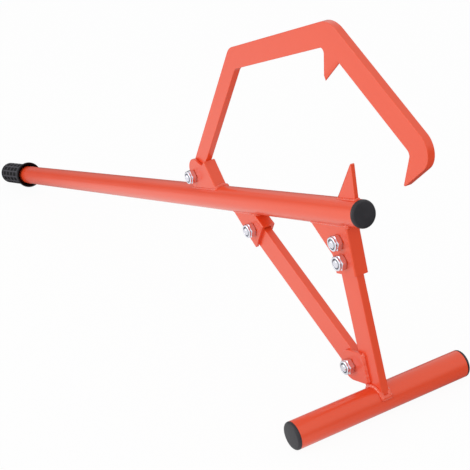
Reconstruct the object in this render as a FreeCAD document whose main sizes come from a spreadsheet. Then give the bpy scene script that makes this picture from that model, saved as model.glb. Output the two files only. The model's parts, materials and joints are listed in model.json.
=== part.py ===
"""Log lifter: a long tube handle with a swinging claw hook, a spike and a bolted T-shaped stand.

Every piece is drawn in the tool's own frame: X runs along the handle towards the head, whose
open tube end is at X = 0, Z is up from the handle's centre line, and Y is the width. One
placement, the stance, then sets the whole tool down on its foot bar and the end of its grip.
"""
import FreeCAD, Part
import math
import os

import Sketcher
from FreeCAD import Placement, Rotation, Vector

SIZES = {
    # handle tube, and the moulded grip on its far end
    "tube_diameter": 32.0,
    "tube_wall": 2.0,
    "handle_length": 1243.0,
    "grip_length": 115.0,
    "grip_diameter": 38.4,
    "grip_end_wall": 6.0,
    "grip_end_bevel": 2.0,
    "grip_fit": 0.1,
    "collar_diameter": 46.6,
    "collar_width": 5.0,
    "collar_mouth": 42.0,
    "collar_mouth_depth": 12.0,
    "collar_slope": 3.0,
    "rib_rows": 12,
    "rib_width": 3.0,
    "rib_height": 1.2,
    "ring_start": 14.0,
    "ring_pitch": 20.0,
    "ring_width": 4.0,
    "ring_count": 4,
    # push-in plugs
    "plug_flange": 2.4,
    "plug_dome": 2.0,
    "plug_round": 3.6,
    "plug_stem": 18.0,
    "plug_wall": 2.2,
    "plug_rib_height": 0.6,
    "plug_rib_width": 1.5,
    "plug_rib_pitch": 5.0,
    "plug_rib_count": 1,
    # pivot of the hook, and the bent plate that carries it
    "pivot_back": 383.4,
    "pivot_rise": 29.6,
    "hook_plate": 9.0,
    "hook_side_gap": 0.3,
    "pivot_fit": 0.08,
    "bracket_plate": 4.0,
    "bend_round": 2.0,
    "ear_forward": 8.9,
    "ear_up": 5.9,
    "ear_radius": 18.0,
    "ear_slope_forward": 15.8,
    "ear_slope_up": 21.4,
    "notch_forward": 30.4,
    "notch_up": 15.4,
    "seat_along": 43.7,
    "seat_gap": 0.2,
    "seat_web_lean": 26.0,
    # the hook, from its pivot outwards
    "hook_arm_length": 231.0,
    "hook_arm_offset": 1.7,
    "hook_arm_angle": 40.6,
    "hook_arm_width": 22.5,
    "hook_top_length": 221.4,
    "hook_top_angle": 4.3,
    "hook_top_width": 26.2,
    "claw_angle": -45.6,
    "claw_width": 29.7,
    "claw_outer_length": 196.6,
    "claw_inner_length": 163.0,
    "claw_tip_along": 172.6,
    "claw_tip_across": 56.6,
    "tooth_root": 29.8,
    "tooth_tip_back": 29.0,
    "tooth_tip_drop": 48.3,
    "tooth_heel_back": 12.8,
    "bevel_depth": 2.2,
    "bevel_reach": 4.0,
    "grind_depth": 6.4,
    "grind_reach": 6.0,
    "crown_round": 24.0,
    "crown_inner_round": 14.0,
    "knee_round": 36.0,
    "heel_round": 22.0,
    "claw_inner_round": 6.0,
    "tooth_inner_round": 5.0,
    "point_round": 1.2,
    # spike on the head
    "spike_plate": 5.0,
    "spike_tail": 41.0,
    "spike_front": 5.2,
    "spike_tip_forward": 1.7,
    "spike_height": 42.6,
    # stand: upright leg, its bracket, the brace with its bracket and lugs, the foot bar
    "bar_width": 32.0,
    "bar_thickness": 10.0,
    "leg_back": 47.0,
    "leg_top_gap": 2.5,
    "foot_drop": 224.6,
    "foot_diameter": 33.5,
    "foot_wall": 2.0,
    "foot_length": 235.0,
    "gusset_reach": 56.0,
    "gusset_depth": 34.0,
    "gusset_height": 56.0,
    "gusset_lip": 3.0,
    "gusset_lean": 2.4,
    "leg_bolt_drop": 17.0,
    "leg_bolt_pitch": 23.0,
    "brace_bolt_back": 247.5,
    "brace_bolt_drop": 34.5,
    "lug_bolt_back": 79.5,
    "lug_bolt_drop": 186.5,
    "channel_past_bolt": 17.3,
    "channel_lip_past_bolt": 14.5,
    "channel_web_gap": 3.0,
    "channel_lip": 3.0,
    "channel_tail": 45.0,
    "lug_plate": 4.0,
    "lug_radius": 19.0,
    "lug_overlap": 10.5,
    # M10 hexagon bolts and lock nuts
    "bolt_diameter": 10.0,
    "bolt_length": 29.0,
    "bolt_hole": 10.8,
    "hex_flats": 17.0,
    "head_height": 6.4,
    "nut_hex_height": 7.0,
    "nut_height": 10.0,
    "nut_collar": 15.4,
    "nut_bore_fit": 0.05,
    "ring_bore": 13.0,
    "ring_thickness": 2.2,
    "ring_inset": 0.6,
    "collar_bevel": 0.8,
    "bolt_chamfer": 1.0,
    # one overrun for all cuts, and how near two places are that count as one
    "overrun": 20.0,
    "same_place": 0.01,
}

document = FreeCAD.newDocument("LogLifter")
sheet = document.addObject("Spreadsheet::Sheet", "Sizes")
for row, (alias, value) in enumerate(SIZES.items(), start=1):
    sheet.set(f"A{row}", alias)
    sheet.set(f"B{row}", str(value))
    sheet.setAlias(f"B{row}", alias)
document.recompute()

NODES = {}


def size(alias):
    """The number in one named cell of the sheet."""
    return float(sheet.get(alias))


def named(text):
    """An expression in which each size's bare alias reads its cell."""
    words = []
    word = ""
    for letter in text + " ":
        if letter.isalnum() or letter == "_":
            word += letter
            continue
        words.append(f"Sizes.{word}" if word in SIZES else word)
        words.append(letter)
        word = ""
    return "".join(words).strip()


def number(text):
    """The value of an expression, as a plain number."""
    value = sheet.evalExpression(named(text))
    return float(getattr(value, "Value", value))


def along(base, angle, forward, across="0"):
    """A point ahead of the base in a direction, and to its left: pairs of expressions."""
    back, up = base
    return (
        f"({back}) + ({forward}) * cos({angle}) - ({across}) * sin({angle})",
        f"({up}) + ({forward}) * sin({angle}) + ({across}) * cos({angle})",
    )


def corner(base, angle_in, across_in, angle_out, across_out):
    """Where two edges cross, each beside a centre line through the base."""
    turn = f"(({angle_out}) - ({angle_in}))"
    reach = f"(({across_in}) * cos({turn}) - ({across_out})) / sin({turn})"
    return along(base, angle_in, reach, across_in)


def bind(thing, path, text):
    thing.setExpression(path, named(text))


def new_body(label):
    body = document.addObject("PartDesign::Body", label)
    body.Label = label
    NODES[label] = body
    return body


def origin_plane(body, role):
    return next(item for item in body.Origin.OriginFeatures if item.Role == role)


def new_sketch(body, role):
    sketch = body.newObject("Sketcher::SketchObject", f"{body.Label}_sketch")
    sketch.AttachmentSupport = [(origin_plane(body, role), "")]
    sketch.MapMode = "FlatFace"
    return sketch


def place_point(sketch, line, end, across, up):
    """Binds one end of a line to two expressions, measured from the sketch's origin."""
    for kind, text in (("DistanceX", across), ("DistanceY", up)):
        index = sketch.addConstraint(Sketcher.Constraint(kind, -1, 1, line, end, 1.0))
        bind(sketch, f"Constraints[{index}]", text)


def draw_outline(sketch, points):
    """Closes straight lines through points given as pairs of expressions."""
    count = len(points)
    first = sketch.GeometryCount
    for side in range(count):
        start, stop = [math.tau * step / count for step in (side, side + 1)]
        sketch.addGeometry(Part.LineSegment(Vector(math.cos(start), math.sin(start), 0),
                                            Vector(math.cos(stop), math.sin(stop), 0)))
    for side, (across, up) in enumerate(points):
        after = first + (side + 1) % count
        sketch.addConstraint(Sketcher.Constraint("Coincident", first + side, 2, after, 1))
        place_point(sketch, first + side, 1, across, up)


def draw_circle(sketch, across, up, diameter):
    """A circle whose centre and diameter are expressions."""
    circle = sketch.addGeometry(Part.Circle(Vector(0, 0, 0), Vector(0, 0, 1), 1.0))
    place_point(sketch, circle, 3, across, up)
    index = sketch.addConstraint(Sketcher.Constraint("Diameter", circle, 2.0))
    bind(sketch, f"Constraints[{index}]", diameter)


def pad(body, sketch, width):
    """Pads a sketch by half the width to each side of its plane."""
    feature = body.newObject("PartDesign::Pad", f"{body.Label}_pad")
    feature.Profile = sketch
    feature.Midplane = True
    bind(feature, "Length", width)
    return feature


def pocket(body, sketch, width):
    """Cuts a sketch by half the width to each side of its plane."""
    feature = body.newObject("PartDesign::Pocket", f"{body.Label}_pocket")
    feature.Profile = sketch
    feature.Midplane = True
    bind(feature, "Length", width)
    return feature


def cut_holes(body, places, diameter):
    """Round holes along Y at the given places, through the whole body."""
    sketch = new_sketch(body, "XZ_Plane")
    for across, up in places:
        draw_circle(sketch, across, up, diameter)
    pocket(body, sketch, "tube_diameter + overrun")


def cope_to_handle(body):
    """Cuts the body to sit on the handle tube's round surface."""
    sketch = new_sketch(body, "YZ_Plane")
    draw_circle(sketch, "0", "0", "tube_diameter")
    pocket(body, sketch, "2 * handle_length")


def add_fillet(body, edges, radius):
    """Rounds the named edges of the body's last feature."""
    base = body.Tip
    fillet = body.newObject("PartDesign::Fillet", f"{body.Label}_fillet")
    fillet.Base = (base, edges)
    bind(fillet, "Radius", radius)


def runs_between(edge, first, last):
    """Whether a straight edge runs from one place, seen along Y, to another, either way round."""
    spots = [(vertex.X, vertex.Z) for vertex in edge.Vertexes]
    if len(spots) != 2:
        return False
    ahead = math.dist(spots[0], first) + math.dist(spots[1], last)
    astern = math.dist(spots[1], first) + math.dist(spots[0], last)
    return min(ahead, astern) < size("same_place")


def edges_between(body, start, end):
    """The names of the edges of the body's last feature that run between two corners."""
    document.recompute()
    first, last = [(number(across), number(up)) for across, up in (start, end)]
    return [f"Edge{count}" for count, edge in enumerate(body.Tip.Shape.Edges, start=1)
            if runs_between(edge, first, last)]


def round_corners(body, radius, corners):
    """Rounds the edges along Y that stand at the given corners."""
    document.recompute()
    spots = [(number(across), number(up)) for across, up in corners]
    edges = []
    for count, edge in enumerate(body.Tip.Shape.Edges, start=1):
        ends = [(vertex.X, vertex.Z) for vertex in edge.Vertexes]
        if len(ends) == 2 and math.dist(*ends) < size("same_place"):
            if any(math.dist(ends[0], spot) < size("point_round") for spot in spots):
                edges.append(f"Edge{count}")
    add_fillet(body, edges, radius)


def round_bends(body, start, end):
    """Rounds the two outer bends of a folded plate, whose web runs from start to end."""
    add_fillet(body, edges_between(body, start, end), "bend_round")


def grind_edge(body, start, end, side, depth, reach):
    """Grinds the edge from start to end on the -Y or +Y face: so deep, and so far in along the face."""
    edges = [name for name in edges_between(body, start, end)
             if side * body.Tip.Shape.getElement(name).CenterOfMass.y > 0]
    base = body.Tip
    chamfer = body.newObject("PartDesign::Chamfer", f"{body.Label}_grind")
    chamfer.Base = (base, edges)
    chamfer.ChamferType = "Two distances"
    bind(chamfer, "Size", depth)
    bind(chamfer, "Size2", reach)


def revolve(body, points):
    """Turns a closed profile, given as distance along X and radius, about the X axis."""
    sketch = new_sketch(body, "XZ_Plane")
    draw_outline(sketch, points)
    feature = body.newObject("PartDesign::Revolution", f"{body.Label}_turned")
    feature.Profile = sketch
    feature.ReferenceAxis = (sketch, ["H_Axis"])
    feature.Angle = 360
    return feature


def make_tube(label, diameter, wall, start, end):
    body = new_body(label)
    bore = f"{diameter} / 2 - {wall}"
    rim = f"{diameter} / 2"
    revolve(body, [(start, bore), (end, bore), (end, rim), (start, rim)])
    return body


def make_plug(label, diameter, wall):
    """A domed plug with a hollow ribbed stem, its flange seated on a tube end at X = 0."""
    body = new_body(label)
    bore = f"{diameter} / 2 - {wall}"
    stem = f"{bore} - plug_rib_height"
    crest = "plug_flange + plug_dome"
    shoulder = "plug_round * (1 - cos(45))"
    points = [(crest, "0"), (crest, f"{diameter} / 2 - plug_round"),
              (f"{crest} - {shoulder}", f"{diameter} / 2 - {shoulder}"),
              (f"{crest} - plug_round", f"{diameter} / 2"), ("0", f"{diameter} / 2"), ("0", stem)]
    for rib in range(1, int(size("plug_rib_count")) + 1):
        front = f"-plug_rib_pitch * {rib}"
        back = f"{front} - plug_rib_width"
        points += [(front, stem), (front, bore), (back, bore), (back, stem)]
    hollow = f"{stem} - plug_wall"
    points += [("-plug_stem", stem), ("-plug_stem", hollow), ("0", hollow), ("0", "0")]
    revolve(body, points)
    return body


def make_grip():
    """The closed grip: a flared collar towards the head, then rings and lengthwise ribs."""
    body = new_body("handle_grip")
    end = "-handle_length"
    face = "-handle_length + grip_length"
    bore = "tube_diameter / 2 + grip_fit"
    floor = "grip_diameter / 2 - rib_height"
    points = [(end, "0"), (end, "grip_diameter / 2 - grip_end_bevel"),
              (f"{end} + grip_end_bevel", "grip_diameter / 2"),
              (f"{end} + ring_start", "grip_diameter / 2"), (f"{end} + ring_start", floor)]
    for ring in range(1, int(size("ring_count")) + 1):
        back = f"{end} + ring_start + ring_pitch * {ring} - ring_width"
        front = f"{end} + ring_start + ring_pitch * {ring}"
        points += [(back, floor), (back, "grip_diameter / 2"),
                   (front, "grip_diameter / 2"), (front, floor)]
    points += [(f"{face} - collar_width - collar_slope", floor),
               (f"{face} - collar_width", "collar_diameter / 2"), (face, "collar_diameter / 2"),
               (face, "collar_mouth / 2"), (f"{face} - collar_mouth_depth", bore),
               (f"{end} + grip_end_wall", bore), (f"{end} + grip_end_wall", "0")]
    revolve(body, points)
    rib = new_sketch(body, "XZ_Plane")
    start = f"{end} + ring_start - ring_width / 2"
    stop = f"{face} - collar_width - collar_slope"
    draw_outline(rib, [(start, f"{floor} - rib_height / 2"), (stop, f"{floor} - rib_height / 2"),
                       (stop, "grip_diameter / 2"), (start, "grip_diameter / 2")])
    ridge = pad(body, rib, "rib_width")
    pattern = body.newObject("PartDesign::PolarPattern", "grip_rib_rows")
    pattern.Originals = [ridge]
    pattern.Axis = (rib, ["H_Axis"])
    pattern.Angle = 360
    pattern.Occurrences = int(size("rib_rows"))
    body.Tip = pattern
    return body


PIVOT = ("-pivot_back", "pivot_rise")
ARM_LEFT = "hook_arm_width / 2 + hook_arm_offset"
ARM_RIGHT = "-hook_arm_width / 2 + hook_arm_offset"
CROWN = along(PIVOT, "hook_arm_angle", "hook_arm_length", "hook_arm_offset")
KNEE = along(CROWN, "hook_top_angle", "hook_top_length")


def make_hook():
    """The swinging hook: a flat plate with an arm, a crown, a tooth and a claw."""
    body = new_body("hook")
    arm, top, claw = "hook_arm_angle", "hook_top_angle", "claw_angle"
    crown = corner(CROWN, arm, "hook_arm_width / 2", top, "hook_top_width / 2")
    knee = corner(KNEE, top, "hook_top_width / 2", claw, "claw_width / 2")
    heel = along(KNEE, claw, "claw_outer_length", "claw_width / 2")
    claw_tip = along(KNEE, claw, "claw_tip_along", "-claw_tip_across")
    claw_inner = along(KNEE, claw, "claw_inner_length", "-claw_width / 2")
    tooth_root = along(KNEE, claw, "tooth_root", "-claw_width / 2")
    tooth_tip = along(KNEE, top, "-tooth_tip_back", "-tooth_tip_drop")
    tooth_inner = along(KNEE, top, "-tooth_heel_back", "-hook_top_width / 2")
    crown_inner = corner(CROWN, arm, "-hook_arm_width / 2", top, "-hook_top_width / 2")
    sketch = new_sketch(body, "XZ_Plane")
    draw_outline(sketch, [
        along(PIVOT, arm, "0", ARM_LEFT), crown, knee, heel, claw_tip, claw_inner, tooth_root,
        tooth_tip, tooth_inner, crown_inner, along(PIVOT, arm, "0", ARM_RIGHT),
    ])
    pad(body, sketch, "hook_plate")
    grind_edge(body, tooth_root, tooth_tip, -1, "bevel_depth", "bevel_reach")
    grind_edge(body, tooth_root, tooth_tip, 1, "grind_depth", "grind_reach")
    for radius, spot in (("crown_round", crown), ("crown_inner_round", crown_inner), ("knee_round", knee),
                         ("heel_round", heel), ("claw_inner_round", claw_inner),
                         ("tooth_inner_round", tooth_inner), ("point_round", claw_tip)):
        round_corners(body, radius, [spot])
    eye = new_sketch(body, "XZ_Plane")
    draw_circle(eye, *PIVOT, f"2 * ({ARM_LEFT})")
    pad(body, eye, "hook_plate")
    cut_holes(body, [PIVOT], "bolt_diameter + 2 * pivot_fit")
    return body


HOOK_GAP = "hook_plate + 2 * hook_side_gap"
HOOK_BRACKET = f"{HOOK_GAP} + 2 * bracket_plate"
BAR_BRACKET = "bar_thickness + 2 * bracket_plate"
INSIDE_HANDLE = "tube_diameter / 4"


def make_hook_bracket():
    """A folded plate: two eared cheeks, open towards the grip, and a web that stops the hook."""
    body = new_body("hook_bracket")
    ear = ("-pivot_back + ear_forward", "pivot_rise + ear_up")
    slope = ("-pivot_back + ear_slope_forward", "pivot_rise + ear_slope_up")
    notch = ("-pivot_back + notch_forward", "pivot_rise + notch_up")
    seat = along(PIVOT, "hook_arm_angle", "seat_along", f"{ARM_RIGHT} - seat_gap")
    lean = "tan(seat_web_lean)"
    thick = "bracket_plate / cos(seat_web_lean)"
    flush = f"-({thick}) / (cos(hook_arm_angle) + sin(hook_arm_angle) * {lean})"
    foot = (f"({seat[0]}) + ({seat[1]} - ({INSIDE_HANDLE})) * {lean}", INSIDE_HANDLE)
    seat_inner = along(seat, "hook_arm_angle", flush)
    tail = (f"{ear[0]} - ear_radius", INSIDE_HANDLE)
    sketch = new_sketch(body, "XZ_Plane")
    draw_outline(sketch, [tail, (tail[0], ear[1]), slope, notch, seat_inner, seat, foot])
    pad(body, sketch, HOOK_BRACKET)
    round_bends(body, seat, foot)
    ears = new_sketch(body, "XZ_Plane")
    draw_circle(ears, *ear, "2 * ear_radius")
    pad(body, ears, HOOK_BRACKET)
    cavity = new_sketch(body, "XZ_Plane")
    above = "pivot_rise + notch_up + overrun"
    web_top = (f"({seat_inner[0]}) - ({above} - ({seat_inner[1]})) * {lean}", above)
    web_foot = (f"({seat_inner[0]}) + ({seat_inner[1]}) * {lean}", "0")
    draw_outline(cavity, [(f"{tail[0]} - overrun", "0"), web_foot, web_top, (f"{tail[0]} - overrun", above)])
    pocket(body, cavity, HOOK_GAP)
    cut_holes(body, [PIVOT], "bolt_hole")
    cope_to_handle(body)
    return body


LEG_BOLTS = [("-leg_back", "-tube_diameter / 2 - leg_bolt_drop"),
             ("-leg_back", "-tube_diameter / 2 - leg_bolt_drop - leg_bolt_pitch")]
BRACE_BOLT = ("-brace_bolt_back", "-brace_bolt_drop")
LUG_BOLT = ("-lug_bolt_back", "-lug_bolt_drop")
BRACE_RUN = "sqrt((brace_bolt_back - lug_bolt_back)^2 + (lug_bolt_drop - brace_bolt_drop)^2)"
BRACE_ANGLE = "(-atan((lug_bolt_drop - brace_bolt_drop) / (brace_bolt_back - lug_bolt_back)))"


def make_leg_bracket():
    """A folded gusset under the head: two cheeks clamp the leg and a web closes its front."""
    body = new_body("leg_bracket")
    inner = "-leg_back + bar_width / 2"
    front = f"{inner} + bracket_plate"
    back = "-leg_back - bar_width / 2 - gusset_lip"
    top = f"-({INSIDE_HANDLE})"
    depth = "-tube_diameter / 2 - gusset_depth"
    bottom = "-tube_diameter / 2 - gusset_height"
    ahead = f"{front} + gusset_lean"
    sketch = new_sketch(body, "XZ_Plane")
    draw_outline(sketch, [(ahead, top), ("-leg_back - gusset_reach", top), (back, depth),
                          (back, bottom), (front, bottom)])
    pad(body, sketch, BAR_BRACKET)
    round_bends(body, (ahead, top), (front, bottom))
    cavity = new_sketch(body, "XZ_Plane")
    far = "-leg_back - gusset_reach - overrun"
    low = f"{bottom} - overrun"
    slant = f"gusset_lean / (({top}) - ({bottom}))"
    draw_outline(cavity, [(f"{inner} - ({bottom}) * {slant}", "0"), (far, "0"), (far, low),
                          (f"{inner} - overrun * {slant}", low)])
    pocket(body, cavity, "bar_thickness")
    cut_holes(body, LEG_BOLTS, "bolt_hole")
    cope_to_handle(body)
    return body


def make_leg():
    """The upright flat bar, coped at its foot to sit on the foot bar."""
    body = new_body("leg")
    front = "-leg_back + bar_width / 2"
    back = "-leg_back - bar_width / 2"
    top = "-tube_diameter / 2 - leg_top_gap"
    sketch = new_sketch(body, "XZ_Plane")
    draw_outline(sketch, [(back, top), (front, top), (front, "-foot_drop"), (back, "-foot_drop")])
    pad(body, sketch, "bar_thickness")
    foot = new_sketch(body, "XZ_Plane")
    draw_circle(foot, "-leg_back", "-foot_drop", "foot_diameter")
    pocket(body, foot, "bar_thickness + overrun")
    cut_holes(body, LEG_BOLTS, "bolt_hole")
    return body


def make_brace_bracket():
    """A folded channel under the handle, along the brace, cut square below the bolt."""
    body = new_body("brace_bracket")
    web = "bar_width / 2 + channel_web_gap + bracket_plate"
    top = f"-({INSIDE_HANDLE})"
    web_end = along(BRACE_BOLT, BRACE_ANGLE, "channel_past_bolt", web)
    lip_end = along(BRACE_BOLT, BRACE_ANGLE, "channel_lip_past_bolt", "-bar_width / 2 - channel_lip")
    web_top = (f"({web_end[0]}) - ({top} - ({web_end[1]})) / tan(-{BRACE_ANGLE})", top)
    sketch = new_sketch(body, "XZ_Plane")
    draw_outline(sketch, [web_top, ("-brace_bolt_back - channel_tail", top), lip_end, web_end])
    pad(body, sketch, BAR_BRACKET)
    round_bends(body, web_top, web_end)
    cavity = new_sketch(body, "XZ_Plane")
    inner = "bar_width / 2 + channel_web_gap"
    clear = "channel_past_bolt + channel_tail + overrun"
    draw_outline(cavity, [along(BRACE_BOLT, BRACE_ANGLE, forward, across) for forward, across in (
        (clear, inner), (f"-({clear})", inner), (f"-({clear})", f"-({clear})"), (clear, f"-({clear})"))])
    pocket(body, cavity, "bar_thickness")
    cut_holes(body, [BRACE_BOLT], "bolt_hole")
    cope_to_handle(body)
    return body


def make_brace():
    """The diagonal flat bar, with a round eye at each bolt."""
    body = new_body("brace")
    sketch = new_sketch(body, "XZ_Plane")
    draw_outline(sketch, [along(BRACE_BOLT, BRACE_ANGLE, forward, across) for forward, across in (
        ("0", "bar_width / 2"), (BRACE_RUN, "bar_width / 2"),
        (BRACE_RUN, "-bar_width / 2"), ("0", "-bar_width / 2"))])
    pad(body, sketch, "bar_thickness")
    eyes = new_sketch(body, "XZ_Plane")
    draw_circle(eyes, *BRACE_BOLT, "bar_width")
    draw_circle(eyes, *LUG_BOLT, "bar_width")
    pad(body, eyes, "bar_thickness")
    cut_holes(body, [BRACE_BOLT, LUG_BOLT], "bolt_hole")
    return body


def make_lug_plate(label):
    """One of the two plates on the leg that hold the brace's lower end."""
    body = new_body(label)
    end = "-leg_back - bar_width / 2 + lug_overlap"
    sketch = new_sketch(body, "XZ_Plane")
    draw_outline(sketch, [(LUG_BOLT[0], f"{LUG_BOLT[1]} + lug_radius"), (end, f"{LUG_BOLT[1]} + lug_radius"),
                          (end, f"{LUG_BOLT[1]} - lug_radius"), (LUG_BOLT[0], f"{LUG_BOLT[1]} - lug_radius")])
    pad(body, sketch, "lug_plate")
    eye = new_sketch(body, "XZ_Plane")
    draw_circle(eye, *LUG_BOLT, "2 * lug_radius")
    pad(body, eye, "lug_plate")
    cut_holes(body, [LUG_BOLT], "bolt_hole")
    return body


def make_spike():
    """A three-cornered plate that stands on the handle near its head."""
    body = new_body("spike")
    sketch = new_sketch(body, "XZ_Plane")
    tip = ("spike_tip_forward", "tube_diameter / 2 + spike_height")
    rim = "tube_diameter / 2"
    draw_outline(sketch, [("-spike_tail", INSIDE_HANDLE), ("-spike_tail", rim), tip, ("-spike_front", rim),
                          ("-spike_front", INSIDE_HANDLE)])
    pad(body, sketch, "spike_plate")
    round_corners(body, "point_round", [tip])
    cope_to_handle(body)
    return body


def primitive(kind, name, sizes, forward, turned):
    """A solid of revolution or a prism whose axis runs along Y from one place."""
    thing = document.addObject(kind, name)
    for path, text in sizes.items():
        bind(thing, path, text)
    thing.Placement = Placement(Vector(0, number(forward), 0), Rotation(Vector(1, 0, 0), turned))
    return thing


def join(kind, name, **links):
    thing = document.addObject(kind, name)
    for link, value in links.items():
        setattr(thing, link, value)
    return thing


def hexagon(name, height, start, turned):
    """A plain hexagon along Y, without the chamfers of its corners."""
    prism = primitive("Part::Prism", f"{name}_prism", {
        "Circumradius": "hex_flats / 2 / cos(30)", "Height": height}, start, turned)
    prism.Polygon = 6
    return prism


def make_bolt(name, width):
    """A hexagon bolt: its head on the +Y cheek, its shank through to -Y."""
    head = hexagon(f"{name}_head", "head_height", f"({width}) / 2", -90)
    shank = primitive("Part::Cylinder", f"{name}_shank", {
        "Radius": "bolt_diameter / 2", "Height": "bolt_length - bolt_chamfer"}, f"({width}) / 2", 90)
    tip = primitive("Part::Cone", f"{name}_tip", {
        "Radius1": "bolt_diameter / 2", "Radius2": "bolt_diameter / 2 - bolt_chamfer",
        "Height": "bolt_chamfer"}, f"({width}) / 2 - bolt_length + bolt_chamfer", 90)
    return join("Part::MultiFuse", f"{name}_bolt", Shapes=[head, shank, tip])


def make_nut(name, width):
    """A lock nut on the -Y cheek: a hexagon and a round collar that holds a nylon ring."""
    face = f"-({width}) / 2"
    hexes = hexagon(f"{name}_nut", "nut_hex_height", face, 90)
    collar = primitive("Part::Cylinder", f"{name}_collar", {
        "Radius": "nut_collar / 2", "Height": "nut_height - collar_bevel"}, face, 90)
    rim = primitive("Part::Cone", f"{name}_rim", {
        "Radius1": "nut_collar / 2", "Radius2": "nut_collar / 2 - collar_bevel",
        "Height": "collar_bevel"}, f"{face} - nut_height + collar_bevel", 90)
    solid = join("Part::MultiFuse", f"{name}_solid", Shapes=[hexes, collar, rim])
    bore = primitive("Part::Cylinder", f"{name}_bore", {
        "Radius": "bolt_diameter / 2 + nut_bore_fit", "Height": "nut_height"}, face, 90)
    recess = primitive("Part::Cylinder", f"{name}_recess", {
        "Radius": "ring_bore / 2", "Height": "ring_thickness + ring_inset"},
        f"{face} - nut_height + ring_thickness + ring_inset", 90)
    hollow = join("Part::MultiFuse", f"{name}_hollow", Shapes=[bore, recess])
    return join("Part::Cut", f"{name}_lock_nut", Base=solid, Tool=hollow)


def make_ring(name, width):
    """The nylon ring inside a lock nut's collar."""
    start = f"-({width}) / 2 - nut_height + ring_thickness + ring_inset"
    disc = primitive("Part::Cylinder", f"{name}_disc", {
        "Radius": "ring_bore / 2", "Height": "ring_thickness"}, start, 90)
    hole = primitive("Part::Cylinder", f"{name}_hole", {
        "Radius": "bolt_diameter / 2 + nut_bore_fit", "Height": "ring_thickness"}, start, 90)
    return join("Part::Cut", f"{name}_ring", Base=disc, Tool=hole)


def group(label, items):
    """Separate solids that share one node, each moved to its bolt."""
    for thing, (back, up) in items:
        spot = Placement(Vector(number(back), 0, number(up)), Rotation())
        thing.Placement = spot.multiply(thing.Placement)
    NODES[label] = join("Part::Compound", label, Links=[thing for thing, spot in items])
    NODES[label].Label = label


def make_fasteners():
    """Five bolts, five lock nuts and their nylon rings, grouped by what they hold."""
    rings = []
    for label, width, spots in (("pivot", HOOK_BRACKET, [PIVOT]), ("leg", BAR_BRACKET, LEG_BOLTS),
                                ("brace", BAR_BRACKET, [BRACE_BOLT, LUG_BOLT])):
        bolts, nuts = [], []
        for count, spot in enumerate(spots, start=1):
            name = f"{label}_{count}"
            bolts.append((make_bolt(name, width), spot))
            nuts.append((make_nut(name, width), spot))
            rings.append((make_ring(name, width), spot))
        many = "s" if len(spots) > 1 else ""
        group(f"{label}_bolt{many}", bolts)
        group(f"{label}_nut{many}", nuts)
    group("nut_rings", rings)


def check_document():
    """Stops the build if any object failed or any sub-part has no sound shape."""
    for item in document.Objects:
        if {"Invalid", "Error"} & set(item.State):
            raise SystemExit(f"{item.Name}: {item.State}")
    for label, item in NODES.items():
        if item.Shape.isNull() or not item.Shape.isValid() or not item.Shape.Solids:
            raise SystemExit(f"{label}: no sound shape")


make_tube("handle_tube", "tube_diameter", "tube_wall", "-handle_length + grip_end_wall", "0")
make_grip()
make_plug("head_plug", "tube_diameter", "tube_wall")
make_spike()
make_hook_bracket()
make_hook()
make_leg_bracket()
make_leg()
make_brace_bracket()
make_brace()
make_lug_plate("lug_plate_near")
make_lug_plate("lug_plate_far")
make_tube("foot_bar", "foot_diameter", "foot_wall", "-foot_length / 2", "foot_length / 2")
make_plug("foot_plug_left", "foot_diameter", "foot_wall")
make_plug("foot_plug_right", "foot_diameter", "foot_wall")
make_fasteners()
document.recompute()
check_document()

# places of the pieces that aren't drawn where they stand, still in the tool's own frame
FOOT = Vector(-size("leg_back"), 0, -size("foot_drop"))
LUG_SHIFT = Vector(0, (size("bar_thickness") + size("lug_plate")) / 2, 0)
FOOT_END = Vector(0, size("foot_length") / 2, 0)
QUARTER = Rotation(Vector(0, 0, 1), 90)
PLACES = {
    "lug_plate_near": Placement(-LUG_SHIFT, Rotation()),
    "lug_plate_far": Placement(LUG_SHIFT, Rotation()),
    "foot_bar": Placement(FOOT, QUARTER),
    "foot_plug_left": Placement(FOOT + FOOT_END, QUARTER),
    "foot_plug_right": Placement(FOOT - FOOT_END, QUARTER.inverted()),
}

# the floor touches the round foot bar and the lower edge of the grip's end
REST = Vector(size("grip_end_bevel") - size("handle_length"), 0, -size("grip_diameter") / 2)
SPAN = FOOT - REST
STEP = math.asin(size("foot_diameter") / 2 / SPAN.Length)
TILT = math.degrees(math.atan2(-SPAN.z, SPAN.x) + STEP)
LEAN = Rotation(Vector(0, 1, 0), -TILT)


def set_down(lift):
    for label, item in NODES.items():
        item.Placement = Placement(lift, LEAN).multiply(PLACES.get(label, Placement()))
    document.recompute()


set_down(Vector(0, 0, 0))
bounds = FreeCAD.BoundBox()
for item in NODES.values():
    bounds.add(item.Shape.optimalBoundingBox(False, False))
floor_lift = Vector(-bounds.Center.x, -bounds.Center.y, -bounds.ZMin)
set_down(floor_lift)
check_document()

os.makedirs("parts", exist_ok=True)
for label, item in NODES.items():
    item.Shape.exportStep(f"parts/{label}.step")

stance = Placement(floor_lift, LEAN)
print("nodes", len(NODES), "tilt", round(TILT, 4), "lift", [round(value, 4) for value in floor_lift])
print("box", [round(value, 3) for value in (bounds.XLength, bounds.YLength, bounds.ZLength)])
pivot = stance.multVec(Vector(number(PIVOT[0]), 0, number(PIVOT[1])))
print("pivot", [round(value, 4) for value in pivot])
for label, item in NODES.items():
    print(f"{label:18s} solids {len(item.Shape.Solids)} volume {item.Shape.Volume / 1000:9.2f} cm3")
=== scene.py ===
"""Log lifter: a long tube lever with a swinging claw hook, a spike and a braced stand.

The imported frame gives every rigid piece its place. Pieces that are made here are drawn in the
tool's own frame, with X along the handle to the head, Y across and Z up, and then set down.
"""
import json
import math

import bmesh
import bpy
from mathutils import Matrix, Vector

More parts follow.
